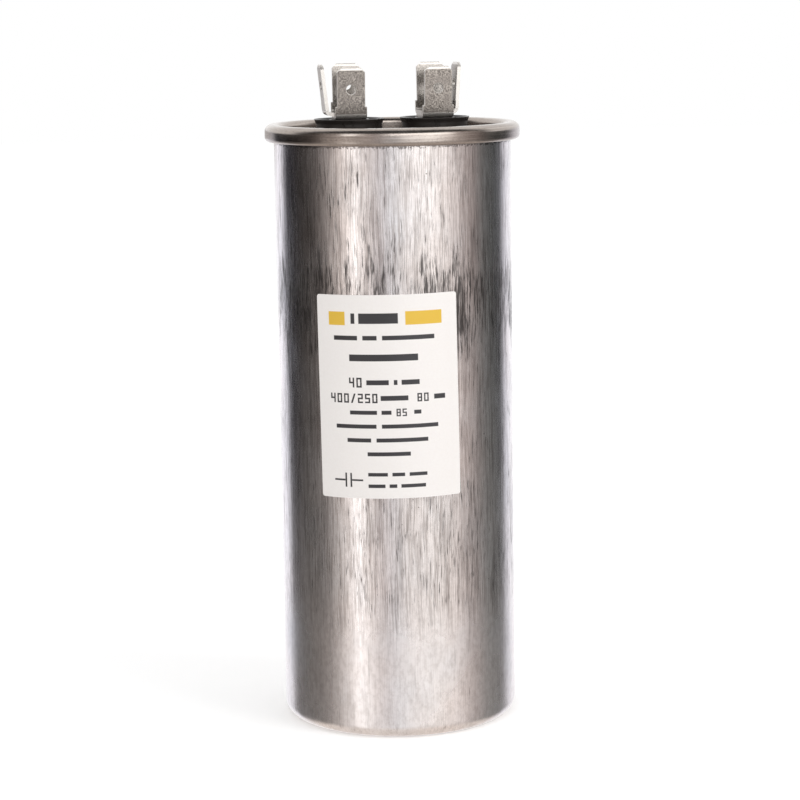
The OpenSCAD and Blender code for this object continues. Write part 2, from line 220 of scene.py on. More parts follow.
def turned(name, section):
    """A closed section (radius, height) turned about Z into an outward-facing solid."""
    work = bmesh.new()
    corners = [work.verts.new((r, 0, z)) for r, z in section]
    loop = list(zip(corners, corners[1:] + corners[:1]))
    edges = [work.edges.new(pair) for pair in loop if max(v.co.x for v in pair) > ON_AXIS]
    bmesh.ops.spin(
        work,
        geom=corners + edges,
        cent=(0, 0, 0),
        axis=(0, 0, 1),
        dvec=(0, 0, 0),
        angle=math.tau,
        steps=TURN_STEPS,
        use_merge=True,
    )
    bmesh.ops.remove_doubles(work, verts=work.verts, dist=ON_AXIS)
    bmesh.ops.recalc_face_normals(work, faces=work.faces)
    return as_object(work, name)


def can_section():
    """The can from its floor panel out, up the wall and over into the hook, and back inside."""
    slope = 2 * PANEL_RISE
    panel_top = CAN_FLOOR + PANEL_RISE
    heel = (CAN_R - HEEL_R, HEEL_R)
    hook = (HOOK_MID, HOOK_Z)
    hook_end = (HOOK_IN + CAN_WALL / 2, COVER_Z)
    outside = [(0, PANEL_RISE), (PANEL_R, PANEL_RISE), (PANEL_R + slope, 0)]
    outside += arc(heel, HEEL_R, -90, 0, 12)
    outside += arc(hook, HOOK_FOLD_R, 180, 0, 8)
    outside += arc(hook_end, CAN_WALL / 2, 180, 360, 6)
    inside = arc(hook, HOOK_FOLD_R + CAN_WALL, 0, 180, 10)
    inside += arc(heel, HEEL_R - CAN_FLOOR, 0, -90, 8)
    inside += [(PANEL_R + slope, CAN_FLOOR), (PANEL_R, panel_top), (0, panel_top)]
    return outside + inside


def lid_section():
    """The lid from its sunk panel up the inner wall, over the crown and tucked up in the seam."""
    corner = (CHUCK_IN - LID_CORNER_R, LID_TOP + LID_CORNER_R)
    inner_crown = (CHUCK_IN + INNER_CROWN_R, CAN_H - INNER_CROWN_R)
    outer_crown = (SKIRT_OUT - OUTER_CROWN_R, CAN_H - OUTER_CROWN_R)
    tuck = (COVER_MID, COVER_Z)
    tuck_end = (COVER_IN + LID_SHEET / 2, HOOK_Z)
    inside = [(0, LID_TOP)]
    inside += arc(corner, LID_CORNER_R, -90, 0, 8)
    inside += arc(inner_crown, INNER_CROWN_R, 180, 90, 10)
    inside += arc(outer_crown, OUTER_CROWN_R, 90, 0, 12)
    inside += arc(tuck, COVER_FOLD_R + LID_SHEET, 0, -180, 14)
    inside += arc(tuck_end, LID_SHEET / 2, 180, 0, 6)
    outside = arc(tuck, COVER_FOLD_R, -180, 0, 8)
    outside += arc(outer_crown, OUTER_CROWN_R - LID_SHEET, 0, 90, 8)
    outside += arc(inner_crown, INNER_CROWN_R - LID_SHEET, 90, 180, 6)
    outside += arc(corner, LID_CORNER_R + LID_SHEET, 0, -90, 8)
    outside += [(0, LID_UNDER)]
    return inside + outside


def punch_terminal_holes(lid):
    """Cuts the two round holes that the insulators' spigots pass through."""
    work = bmesh.new()
    for side in SIDES:
        low, high = RIVET_BOX[side]
        place = Matrix.Translation(((low.x + high.x) / 2, 0, LID_UNDER))
        bmesh.ops.create_cone(
            work,
            cap_ends=True,
            segments=64,
            radius1=LID_HOLE_R,
            radius2=LID_HOLE_R,
            depth=4 * LID_SHEET,
            matrix=place,
        )
    punch = as_object(work, "lid_punch")
    cut = lid.modifiers.new("holes", "BOOLEAN")
    cut.operation = "DIFFERENCE"
    cut.object = punch
    cut.solver = "EXACT"
    ready = lid.evaluated_get(bpy.context.evaluated_depsgraph_get())
    lid.data = bpy.data.meshes.new_from_object(ready)
    lid.modifiers.clear()
    bpy.data.objects.remove(punch)
    return lid


# ---- Label -----------------------------------------------------------------------------------


def wrapped_label():
    """A rounded sheet with its own flat map in mm, put on a little askew and bent to the can."""
    work = bmesh.new()
    bmesh.ops.create_grid(work, x_segments=1, y_segments=1, size=0.5)
    bmesh.ops.scale(work, vec=(LABEL_W, LABEL_H, 1), verts=work.verts)
    bmesh.ops.bevel(
        work,
        geom=work.verts[:],
        offset=LABEL_CORNER_R,
        affect="VERTICES",
        segments=8,
        profile=0.5,
        material=-1,
    )
    tilt = Matrix.Rotation(LABEL_TILT, 3, "Z")
    bmesh.ops.rotate(work, cent=(0, 0, 0), matrix=tilt, verts=work.verts)
    # Upright cuts let the sheet bend; askew, it is a little wider than LABEL_W
    for i in range(1, LABEL_STRIPS):
        bmesh.ops.bisect_plane(
            work,
            geom=work.verts[:] + work.edges[:] + work.faces[:],
            plane_co=(1.02 * LABEL_W * (i / LABEL_STRIPS - 0.5), 0, 0),
            plane_no=(1, 0, 0),
        )
    flat = work.loops.layers.uv.new("flat")
    level = tilt.inverted()
    for face in work.faces:
        for corner in face.loops:
            corner[flat].uv = (level @ corner.vert.co).xy / MM
    grown = bmesh.ops.extrude_face_region(work, geom=work.faces[:])["geom"]
    tops = [v for v in grown if isinstance(v, bmesh.types.BMVert)]
    bmesh.ops.translate(work, vec=(0, 0, LABEL_T), verts=tops)
    for vert in work.verts:
        around = vert.co.x / CAN_R - LABEL_TURN
        out = CAN_R + vert.co.z
        vert.co = (out * math.sin(around), -out * math.cos(around), LABEL_MIDDLE + vert.co.y)
    bmesh.ops.recalc_face_normals(work, faces=work.faces)
    return as_object(work, "label_sheet")


# ---- Copies of nodes with broken edges -------------------------------------------------------

MERGE_GAP = 0.002 * MM
FLAT_TURN = math.radians(0.6)
SHARP_TURN = math.radians(32)
BROAD_AREA = 8 * MM**2
SAME_PLANE = 0.03 * MM
PARALLEL = 0.999


def broken_edges(node, name, width, shade_lift=0.0):
    """A copy of a node whose doubles are merged and whose sharp edges are slightly rounded.

    The face attribute "rubbed" is 1 off the broad flat faces: on cut edges, folds, hole walls and
    the rounded edges, which the tools and handling burnish, and which the tinned brass paints paler
    still as a painted highlight. Broad faces take the share worn, a painted lift of light for faces
    that lie in shade.
    """
    work = bmesh.new()
    work.from_mesh(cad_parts[node].data)
    bmesh.ops.remove_doubles(work, verts=work.verts, dist=MERGE_GAP)
    bmesh.ops.dissolve_limit(work, angle_limit=FLAT_TURN, verts=work.verts, edges=work.edges)
    rubbed = work.faces.layers.float.new("rubbed")
    broad = [f for f in work.faces if f.calc_area() > BROAD_AREA]
    planes = [(f.normal.copy(), f.calc_center_median()) for f in broad]
    for face in work.faces:
        middle = face.calc_center_median()
        level = [(n, at) for n, at in planes if face.normal.dot(n) > PARALLEL]
        in_plane = any(abs((middle - at).dot(n)) < SAME_PLANE for n, at in level)
        face[rubbed] = shade_lift if in_plane else 1.0
    sharp = [e for e in work.edges if e.is_manifold and e.calc_face_angle() > SHARP_TURN]
    rounded = bmesh.ops.bevel(
        work,
        geom=sharp,
        offset=width,
        offset_type="OFFSET",
        affect="EDGES",
        segments=2,
        profile=0.5,
        clamp_overlap=True,
        material=-1,
    )
    for face in rounded["faces"]:
        face[rubbed] = 1.0
    bmesh.ops.recalc_face_normals(work, faces=work.faces)
    copy = as_object(work, name)
    copy.data.shade_smooth()
    even = copy.modifiers.new("even_shading", "WEIGHTED_NORMAL")
    even.weight = 100
    return copy


# ---- Materials -------------------------------------------------------------------------------


def swayed(add, place, size_mm, reach_mm):
    """The place in mm, pushed about a little, so that straight marks bend as hand-made ones do."""
    slow = add("TexNoise", {}, vector=place, scale=1 / size_mm, detail=1.0).outputs["Color"]
    return add("VectorMath", {"operation": "MULTIPLY_ADD"}, slow, (reach_mm, reach_mm, 0), place)


def drawn_aluminium():
    """Deep-drawn can of soft aluminium, wiped and handled.

    The die leaves fine lines along the can, which break its reflections into streaks. Grey smears
    gather in short upright dashes around the label, thick above it and thinner below it to the
    right, and fade towards the back. The foot is only mottled, so its reflections are soft clouds.
    """
    made, add, skin, place = new_material("drawn_aluminium")
    label_top = (LABEL_MIDDLE + LABEL_H / 2) / MM
    label_foot = (LABEL_MIDDLE - LABEL_H / 2) / MM
    skirt_end = SKIRT_END / MM
    apart = add("SeparateXYZ", {}, place).outputs
    height = apart["Z"]
    bent = swayed(add, place, 11.0, 0.8)
    # Die lines are a few hundredths of a millimetre wide; they are drawn at 0.25 mm to show
    die_lines = marks(add, bent, 0.25, stretch=(1, 1, 60), detail=2.0, roughness=0.6)
    nicks = marks(add, bent, 0.3, stretch=(1, 1, 20), detail=2.0, roughness=0.6, shift=(6, 2, 9))
    dashes = marks(add, bent, 0.38, stretch=(1, 1, 13), detail=3.0, roughness=0.6, shift=(3, 1, 0))
    strokes = marks(add, bent, 0.8, stretch=(1, 1, 26), detail=4.0, roughness=0.65, shift=(2, 7, 3))
    wipes = marks(add, bent, 1.5, stretch=(1, 1, 9), detail=4.0, roughness=0.65, shift=(9, 6, 1))
    smudges = marks(add, place, 4.5, stretch=(1, 1, 2.4), detail=4.0, roughness=0.6, shift=(7, 2, 5))
    clouds = marks(add, place, 12.0, stretch=(1, 1, 1.6), detail=3.0, roughness=0.55, shift=(1, 8, 2))
    mottle = marks(add, place, 1.0, stretch=(1, 1, 1.6), detail=4.0, roughness=0.65, shift=(4, 4, 4))
    pits = marks(add, place, 0.8, detail=1.0, shift=(5, 9, 3))

    ragged = add("Math", PLUS, height, add("MapRange", EVEN, wipes, 0.3, 0.7, -6.0, 6.0))
    upper = add("MapRange", EASED, ragged, label_top - 14.75, label_top - 8.75)
    upper_end = add("MapRange", EASED, ragged, label_top + 10.25, label_top + 2.25)
    upper = add("Math", TIMES, upper, upper_end)
    lower = add("MapRange", EASED, ragged, label_foot - 33.35, label_foot - 17.35)
    lower_end = add("MapRange", EASED, ragged, label_foot + 22.65, label_foot - 3.35, 0.0, 0.2)
    lower = add("Math", TIMES, lower, lower_end)
    lower = add("Math", TIMES, lower, add("MapRange", EASED, apart["X"], -14, 0, 0.05, 1.0))
    dense = add("Math", HIGHER, upper, lower)
    dense = add("Math", TIMES, dense, add("MapRange", EASED, apart["Y"], -12, 10, 1.0, 0.25))
    foot = add("MapRange", EASED, height, 34, 19)
    grained = add("MapRange", EASED, foot, 0, 1, 1.0, 0.25)
    clean = add("Math", TIMES, foot, -0.14)
    crowd = add("Math", PLUS, clean, add("Math", TIMES, dense, 0.14))
    crowd = add("Math", PLUS, crowd, add("MapRange", EVEN, smudges, 0.3, 0.7, -0.08, 0.08))
    smears = add("MapRange", EASED, add("Math", PLUS, dashes, crowd), 0.59, 0.76)
    nicked = add("Math", PLUS, nicks, add("Math", TIMES, crowd, 0.7))
    brushed = add("MapRange", EASED, add("Math", PLUS, strokes, add("Math", TIMES, crowd, 0.5)), 0.5, 0.7)
    haze = add("MapRange", EASED, smudges, 0.46, 0.66)
    haze = add("Math", TIMES, haze, add("MapRange", EASED, dense, 0, 1, 0.1, 0.36))

    tone = add("Mix", COLOUR, clouds, "#efe5e0", "#e6e8eb")
    scored = add("Math", TIMES, add("MapRange", EASED, die_lines, 0.42, 0.64), grained)
    tone = add("Mix", COLOUR, add("Math", TIMES, scored, 0.55), tone, "#a39b97")
    wiped = add("Math", TIMES, add("MapRange", EASED, wipes, 0.5, 0.72), grained)
    tone = add("Mix", COLOUR, add("Math", TIMES, wiped, 0.4), tone, "#938a87")
    tone = add("Mix", COLOUR, add("Math", TIMES, brushed, 0.38), tone, "#6d6765")
    tone = add("Mix", COLOUR, haze, tone, "#6f6a69")
    dapple = add("MapRange", EASED, mottle, 0.38, 0.7)
    dapple = add("Math", TIMES, dapple, add("MapRange", EASED, foot, 0, 1, 0.18, 0.26))
    tone = add("Mix", COLOUR, dapple, tone, "#968c86")
    tone = add("Mix", COLOUR, add("MapRange", EASED, nicked, 0.61, 0.74, 0.0, 0.7), tone, "#4d4948")
    tone = add("Mix", COLOUR, add("Math", TIMES, smears, 0.85), tone, "#444140")
    tone = add("Mix", COLOUR, add("MapRange", EASED, pits, 0.8, 0.83, 0.0, 0.8), tone, "#3a3736")
    # Under the seam the can is painted darker: dark dirt specks, and painted shade where the seam
    # overhangs the wall
    grit = marks(add, place, 0.5, detail=3.0, roughness=0.6, shift=(6, 6, 2))
    seam_shade = add("MapRange", EASED, height, skirt_end - 1.7, skirt_end + 0.2, -0.3, 0.2)
    grime_and_shade = add("Math", PLUS, grit, seam_shade)
    tone = add("Mix", COLOUR, add("MapRange", EASED, grime_and_shade, 0.52, 0.66, 0.0, 0.7), tone, "#3b332f")

    rough = add("MapRange", EVEN, clouds, 0.3, 0.7, 0.2, 0.27)
    rough = add("Math", PLUS, rough, add("Math", TIMES, smears, 0.2))
    rough = add("Math", PLUS, rough, add("Math", TIMES, foot, 0.05))
    lines = add("Math", PLUS, die_lines, add("Math", TIMES, strokes, 0.5))
    lines = add("Math", TIMES, lines, grained)
    normal = add("Bump", {}, distance=0.0022 * MM, height=lines)
    normal = add("Bump", {}, distance=0.002 * MM, height=mottle, normal=normal)
    skin(base_color=tone, metallic=1.0, roughness=rough, normal=normal)
    return made


def seamed_steel():
    """Tin-plated steel lid, pressed and rolled into the seam.

    The seaming rolls leave the plating a dull warm grey with faint lines around the rim. The
    lid's tuck under the seam is painted darker: dirt there, and painted shade on its underside.
    """
    made, add, skin, place = new_material("seamed_steel")
    height = add("SeparateXYZ", {}, place).outputs["Z"]
    clouds = marks(add, place, 4.0, detail=4.0, roughness=0.6)
    specks = marks(add, place, 0.4, stretch=(1, 1, 0.7), detail=3.0, roughness=0.7, shift=(2, 5, 1))
    # Roll lines are a few hundredths of a millimetre wide; they are drawn at 0.3 mm to show
    roll_marks = marks(add, place, 0.3, stretch=(40, 40, 1), detail=2.0, shift=(8, 1, 1))
    tone = add("Mix", COLOUR, clouds, "#857c76", "#aca39c")
    tone = add("Mix", COLOUR, add("MapRange", EASED, specks, 0.5, 0.72, 0.0, 0.45), tone, "#5d5550")
    tone = add("Mix", COLOUR, add("MapRange", EASED, roll_marks, 0.5, 0.7, 0.0, 0.3), tone, "#c8c0b9")
    # The recess inside the rim is painted darker towards its floor: painted shade in the hollow
    level = add("VectorMath", TIMES, place, (1, 1, 0))
    reach = add("VectorMath", {"operation": "LENGTH"}, level)
    inside = add("MapRange", EASED, reach, CHUCK_OUT / MM + 0.2, CHUCK_OUT / MM - 0.2)
    recess_shade = add("MapRange", EASED, height, CAN_H / MM - 0.4, CAN_H / MM - 2.4, 0.0, 0.45)
    tone = add("Mix", COLOUR, add("Math", TIMES, inside, recess_shade), tone, "#5a514b")
    skirt_end = SKIRT_END / MM
    # The tuck under the seam is painted darker and rougher: dirt, and painted shade on its underside
    grime_and_shade = add("MapRange", EASED, height, skirt_end + 0.2, skirt_end - 0.1, 0.0, 0.4)
    tone = add("Mix", COLOUR, grime_and_shade, tone, "#2e2926")
    rough = add("MapRange", EVEN, clouds, 0.3, 0.7, 0.18, 0.26)
    rough = add("Math", PLUS, rough, add("Math", TIMES, grime_and_shade, 0.2))
    normal = add("Bump", {}, distance=0.006 * MM, height=specks)
    skin(base_color=tone, metallic=1.0, roughness=rough, normal=normal)
    return made


def tinned_brass():
    """Punched and folded brass strip under matt tin.

    The flat faces are grey and grained, with darker specks where the tin is thin. Cut edges,
    folds and hole walls are burnished bright by the tools and by the sockets pushed over them,
    and are painted paler and less metallic still, as a painted highlight. The broad faces of the
    back and side blades take a share of it, as painted light on faces that lie in shade.
    """
    made, add, skin, place = new_material("tinned_brass")
    # Matt tin is grained far finer; its specks are drawn at 0.26 mm to show
    grain = marks(add, place, 0.26, detail=4.0, roughness=0.75)
    clouds = marks(add, place, 2.2, detail=3.0, roughness=0.6, shift=(3, 3, 1))
    rubbed = add("Attribute", {"attribute_name": "rubbed"}).outputs["Fac"]
    tone = add("Mix", COLOUR, add("MapRange", EASED, grain, 0.38, 0.62), "#423c38", "#979089")
    tone = add("Mix", COLOUR, add("MapRange", EASED, clouds, 0.4, 0.7, 0.0, 0.4), tone, "#7b746f")
    # Burnished faces go towards pale grey and less metal: worn tin, and a painted highlight
    tone = add("Mix", COLOUR, add("Math", TIMES, rubbed, 0.9), tone, "#d2cdc7")
    rough = add("MapRange", EVEN, grain, 0.35, 0.7, 0.28, 0.18)
    rough = add("Math", PLUS, rough, add("Math", TIMES, rubbed, 0.06))
    metal = add("MapRange", EVEN, rubbed, 0, 1, 1.0, 0.65)
    normal = add("Bump", {}, distance=0.014 * MM, height=grain)
    skin(base_color=tone, metallic=metal, roughness=rough, normal=normal)
    return made


def tinned_rivet():
    """Tin-plated copper rivet, its head hammered bright."""
    made, add, skin, place = new_material("tinned_rivet")
    dents = marks(add, place, 0.6, detail=3.0)
    tone = add("Mix", COLOUR, dents, "#b9b3ac", "#d8d3cd")
    rough = add("MapRange", EASED, dents, 0.3, 0.7, 0.2, 0.34)
    normal = add("Bump", {}, distance=0.03 * MM, height=dents)
    skin(base_color=tone, metallic=1.0, roughness=rough, normal=normal)
    return made


def black_moulding():
    """Compression-moulded black phenolic: satin, with a brown flow pattern and paler rubbed lips."""
    made, add, skin, place = new_material("black_moulding")
    flow = marks(add, place, 2.2, detail=4.0, roughness=0.6)
    dust = marks(add, place, 0.3, detail=4.0, roughness=0.7, shift=(2, 2, 7))
    rubbed = add("Attribute", {"attribute_name": "rubbed"}).outputs["Fac"]
    tone = add("Mix", COLOUR, flow, "#0e0d0d", "#251d1a")
    tone = add("Mix", COLOUR, add("MapRange", EASED, dust, 0.55, 0.75, 0.0, 0.1), tone, "#4a423d")
    tone = add("Mix", COLOUR, add("Math", TIMES, rubbed, 0.15), tone, "#57524e")
    rough = add("MapRange", EASED, flow, 0.3, 0.7, 0.26, 0.42)
    normal = add("Bump", {}, distance=0.004 * MM, height=marks(add, place, 0.25, detail=3.0))
    skin(base_color=tone, roughness=rough, ior=1.45, normal=normal)
    return made


def black_rubber():
    """Cut nitrile rubber sheet: matt and dark, with fine dust in its pores, drawn at 0.15 mm."""
    made, add, skin, place = new_material("black_rubber")
    pores = marks(add, place, 0.15, detail=3.0)
    tone = add("Mix", COLOUR, pores, "#1b1a1a", "#2c2a29")
    normal = add("Bump", {}, distance=0.01 * MM, height=pores)
    skin(base_color=tone, roughness=0.75, ior=1.52, normal=normal)
    return made


# The print, in mm from the label's middle: plain bars stand for words, and the numbers are bare
# figures. Bars: middle height of a row, height of its bars, and their ends left and right.
DARK_BARS = (
    (17.5, 2.3, ((-7.8, -6.9), (-6.0, 2.8))),
    (13.2, 1.0, ((-12.0, -6.4), (-5.2, -2.0), (-0.8, 10.8))),
    (8.8, 1.5, ((-8.4, 7.0),)),
    (3.3, 1.1, ((-4.6, 0.4), (1.5, 2.3), (3.2, 7.2))),
    (-0.2, 1.1, ((-1.5, 4.6), (10.4, 13.0))),
    (-3.4, 0.9, ((-8.6, -2.4), (-1.4, 0.8), (5.8, 7.4))),
    (-6.5, 0.9, ((-12.0, -2.6), (-1.4, 11.2))),
    (-9.6, 0.9, ((-9.4, -3.9), (-2.7, 8.8))),
    (-12.7, 0.9, ((-4.8, 4.8),)),
    (-17.3, 0.8, ((-4.8, -0.4), (0.6, 3.4), (4.4, 8.4))),
    (-19.9, 0.8, ((-4.8, -1.0), (-0.1, 1.6), (2.5, 8.0))),
    # The sign of a capacitor: two plates and their leads
    (-18.6, 3.2, ((-10.2, -9.8), (-9.0, -8.6))),
    (-18.6, 0.4, ((-12.8, -10.2), (-8.6, -6.0))),
)
AMBER_BARS = ((17.5, 3.0, ((-13.2, -9.2), (4.4, 12.6))),)
# Numbers: signs, left end, middle height and height
NUMBERS = (
    ("40", -8.6, 3.3, 2.2),
    ("400/250", -13.2, -0.2, 2.1),
    ("80", 6.6, -0.2, 1.9),
    ("85", 1.9, -3.4, 1.7),
)
STROKES = {"0": "abcdef", "2": "abdeg", "4": "bcfg", "5": "acdfg", "8": "abcdefg"}


def within(add, value, low, high, soft=0.05):
    """1 where a value lies between low and high, and 0 beyond, with soft ends."""
    off = add("Math", {"operation": "ABSOLUTE"}, add("Math", LESS, value, (low + high) / 2))
    half = (high - low) / 2
    return add("MapRange", EASED, off, half + soft, half - soft)


def either(add, masks):
    """The highest of several masks."""
    top = masks[0]
    for mask in masks[1:]:
        top = add("Math", HIGHER, top, mask)
    return top


def bars_ink(add, across, up, row):
    """Where a row of plain bars is printed."""
    middle, tall, groups = row
    wide = either(add, [within(add, across, left, right) for left, right in groups])
    return add("Math", TIMES, wide, within(add, up, middle - tall / 2, middle + tall / 2))


def number_ink(add, across, up, signs, left, middle, tall):
    """Where a number is printed, each figure from up to seven straight strokes."""
    line, wide, step, lean = 0.17 * tall, 0.56 * tall, 0.78 * tall, 0.35
    low, high = middle - tall / 2, middle + tall / 2
    levels = {
        "top": within(add, up, high - line, high),
        "mid": within(add, up, middle - line / 2, middle + line / 2),
        "foot": within(add, up, low, low + line),
        "upper": within(add, up, middle, high),
        "lower": within(add, up, low, middle),
    }
    masks = []
    for place, sign in enumerate(signs):
        start = left + place * step
        if sign == "/":
            slant = add("Math", LESS, across, add("Math", TIMES, up, lean))
            start += line - lean * middle
            stroke = within(add, slant, start, start + 1.2 * line)
            masks.append(add("Math", TIMES, stroke, within(add, up, low, high)))
            continue
        full = within(add, across, start, start + wide)
        near = within(add, across, start, start + line)
        far = within(add, across, start + wide - line, start + wide)
        parts = {
            "a": (full, "top"),
            "b": (far, "upper"),
            "c": (far, "lower"),
            "d": (full, "foot"),
            "e": (near, "lower"),
            "f": (near, "upper"),
            "g": (full, "mid"),
        }
        for stroke in STROKES[sign]:
            across_mask, level = parts[stroke]
            masks.append(add("Math", TIMES, across_mask, levels[level]))
    return either(add, masks)


def label_stock():
    """Coated paper label, smooth and faintly glossy, with its print in flat ink."""
    made, add, skin, place = new_material("label_stock")
    apart = add("SeparateXYZ", {}, add("UVMap", {"uv_map": "flat"})).outputs
    across, up = apart["X"], apart["Y"]
    fibres = marks(add, place, 0.5, detail=3.0)
    tone = add("Mix", COLOUR, fibres, "#f0eae6", "#f5f1ee")
    bars = [bars_ink(add, across, up, row) for row in DARK_BARS]
    numbers = [number_ink(add, across, up, *number) for number in NUMBERS]
    tone = add("Mix", COLOUR, either(add, bars + numbers), tone, "#2a282b")
    amber = either(add, [bars_ink(add, across, up, row) for row in AMBER_BARS])
    tone = add("Mix", COLOUR, amber, tone, "#e3b93a")
    normal = add("Bump", {}, distance=0.002 * MM, height=fibres)
    skin(base_color=tone, roughness=0.42, ior=1.5, normal=normal)
    return made


def plain_inside(name, dark, light, size_mm, roughness, stretch=(1, 1, 1), metallic=0.0, grain_mm=0.01):
    """A material of a piece inside the can: two close tones in a grain about size_mm across."""
    made, add, skin, place = new_material(name)
    grain = marks(add, place, size_mm, stretch=stretch, detail=3.0)
    tone = add("Mix", COLOUR, grain, dark, light)
    normal = add("Bump", {}, distance=grain_mm * MM, height=grain)
    skin(base_color=tone, metallic=metallic, roughness=roughness, normal=normal)
    return made


# ---- The capacitor ---------------------------------------------------------------------------


def build_shell():
    """Can, lid and label."""
    can = smooth(turned("can_shell", can_section()))
    dress(can, drawn_aluminium(), "drawn_aluminium", "can")
    lid = smooth(punch_terminal_holes(turned("lid_shell", lid_section())))
    dress(lid, seamed_steel(), "seamed_steel", "lid")
    label = smooth(wrapped_label())
    dress(label, label_stock(), "label_stock", "label")


def build_terminals():
    """Insulators, blades and rivets with their edges broken."""
    moulding, brass, rivet_tin = black_moulding(), tinned_brass(), tinned_rivet()
    for side in SIDES:
        cup = broken_edges(f"insulator_{side}", f"cup_{side}", 0.12 * MM)
        dress(cup, moulding, "black_moulding", f"insulator_{side}")
        front = broken_edges(f"lower_blade_{side}", f"front_blade_{side}", 0.1 * MM)
        dress(front, brass, "tinned_brass", f"lower_blade_{side}")
        # The back and side blades' broad faces are painted lighter: painted light on faces that lie in
        # shade
        others = broken_edges(f"upper_blades_{side}", f"back_blades_{side}", 0.1 * MM, shade_lift=0.35)
        dress(others, brass, "tinned_brass", f"upper_blades_{side}")
        head = broken_edges(f"rivet_{side}", f"clamp_rivet_{side}", 0.1 * MM)
        dress(head, rivet_tin, "tinned_rivet", f"rivet_{side}")


def dress_inside():
    """The frame's own nodes that stay: seals, washers, and what the can holds."""
    rubber = black_rubber()
    copper = plain_inside("tinned_copper", "#b9b2a8", "#cfc9c0", 0.5, 0.32, metallic=1.0)
    zinc = plain_inside("sprayed_zinc", "#7d7d7c", "#a9a9a6", 0.3, 0.6, metallic=1.0, grain_mm=0.08)
    cap = plain_inside("cap_plastic", "#e2ded2", "#efece4", 3.0, 0.45)
    # The film is a few thousandths of a millimetre thick; its turns are drawn 0.2 mm apart to show
    film = plain_inside("metallised_film", "#b5ab8c", "#d5cdb2", 0.2, 0.3, stretch=(60, 60, 1))
    inside = {
        "seam_seal": plain_inside("sealing_compound", "#36402f", "#4a5544", 0.8, 0.7),
        "gasket_left": rubber,
        "gasket_right": rubber,
        "inner_washer_left": plain_inside("phenolic_paper", "#4a2e1a", "#6a452a", 0.4, 0.5),
        "interrupter_deck": plain_inside("deck_plastic", "#ddd8ca", "#ece8de", 2.5, 0.4),
        "lead_left": copper,
        "lead_right": copper,
        "spacer_ring": cap,
        "top_cap": cap,
        "bottom_cap": cap,
        "winding": film,
        "core_tube": plain_inside("core_plastic", "#bdb6a3", "#cfc9b8", 1.5, 0.5),
        "top_spray": zinc,
        "bottom_spray": zinc,
        "winding_wrap": plain_inside("wrap_paper", "#bfae82", "#d3c49b", 0.5, 0.8),
    }
    inside["inner_washer_right"] = inside["inner_washer_left"]
    for node, material in inside.items():
        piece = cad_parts[node]
        piece.data.materials.clear()
        piece.data.materials.append(material)


# ---- Studio ----------------------------------------------------------------------------------

# The camera stands in front and a little above, and looks down at the can
CAMERA_PLACE = Vector((-109.6, -543.1, 163.3)) * MM
CAMERA_TURN = math.radians(11.5)
CAMERA_DIP = math.radians(9.25)
CAMERA_ROLL = math.radians(-0.85)
CAMERA_LENS = 109.2
CAMERA_SENSOR = 36


def add_camera():
    """The camera: its lens, its place and its turn, dip and roll."""
    data = bpy.data.cameras.new("camera")
    data.lens = CAMERA_LENS
    data.sensor_width = CAMERA_SENSOR
    data.clip_start = 0.01
    data.clip_end = 10
    camera = bpy.data.objects.new("camera", data)
    bpy.context.scene.collection.objects.link(camera)
    turn = Matrix.Rotation(-CAMERA_TURN, 4, "Z") @ Matrix.Rotation(math.pi / 2 - CAMERA_DIP, 4, "X")
    roll = Matrix.Rotation(CAMERA_ROLL, 4, "Z")
    camera.matrix_world = Matrix.Translation(CAMERA_PLACE) @ turn @ roll
    bpy.context.scene.camera = camera


# The studio's surround, seen only as a reflection: direction from the camera's side in degrees,
# positive to the right, with the brightness there and its tint. Softboxes stand at both sides
# of the camera, dark flags beside the can, and the white backdrop behind it.
SURROUND = (
    (-180, 1.5, "#ffffff"),
    (-152, 1.35, "#f8f8ff"),
    (-139, 1.3, "#f1f2fc"),
    (-129, 0.05, "#c6ccec"),
    (-100, 0.035, "#e8d8d0"),
    (-84, 0.07, "#fff0ea"),
    (-72, 0.18, "#fff0ea"),
    (-56, 0.7, "#fff4ee"),
    (-46, 1.3, "#fff5f0"),
    (-36, 1.22, "#fff8f4"),
    (-26, 1.0, "#fff6f2"),
    (-14, 0.68, "#fff4f4"),
    (0, 1.05, "#f8faff"),
    (14, 2.1, "#fcfdff"),
    (38, 2.35, "#ffffff"),
    (52, 1.5, "#fff9f7"),
    (68, 0.68, "#fff2ee"),
    (82, 0.36, "#ffeeea"),
    (96, 0.17, "#f0f4f4"),
    (112, 0.09, "#ecf4f4"),
    (128, 0.1, "#e4ecf8"),
    (137, 1.1, "#f0f0fa"),
    (148, 1.25, "#f8f8ff"),
    (180, 1.5, "#ffffff"),
)
SURROUND_PEAK = 3.4
SURROUND_R = 2.8


def lit(level, tint="#ffffff"):
    """A brightness of the surround as a share of its peak."""
    return (*(c * level / SURROUND_PEAK for c in rgba(tint)[:3]), 1.0)


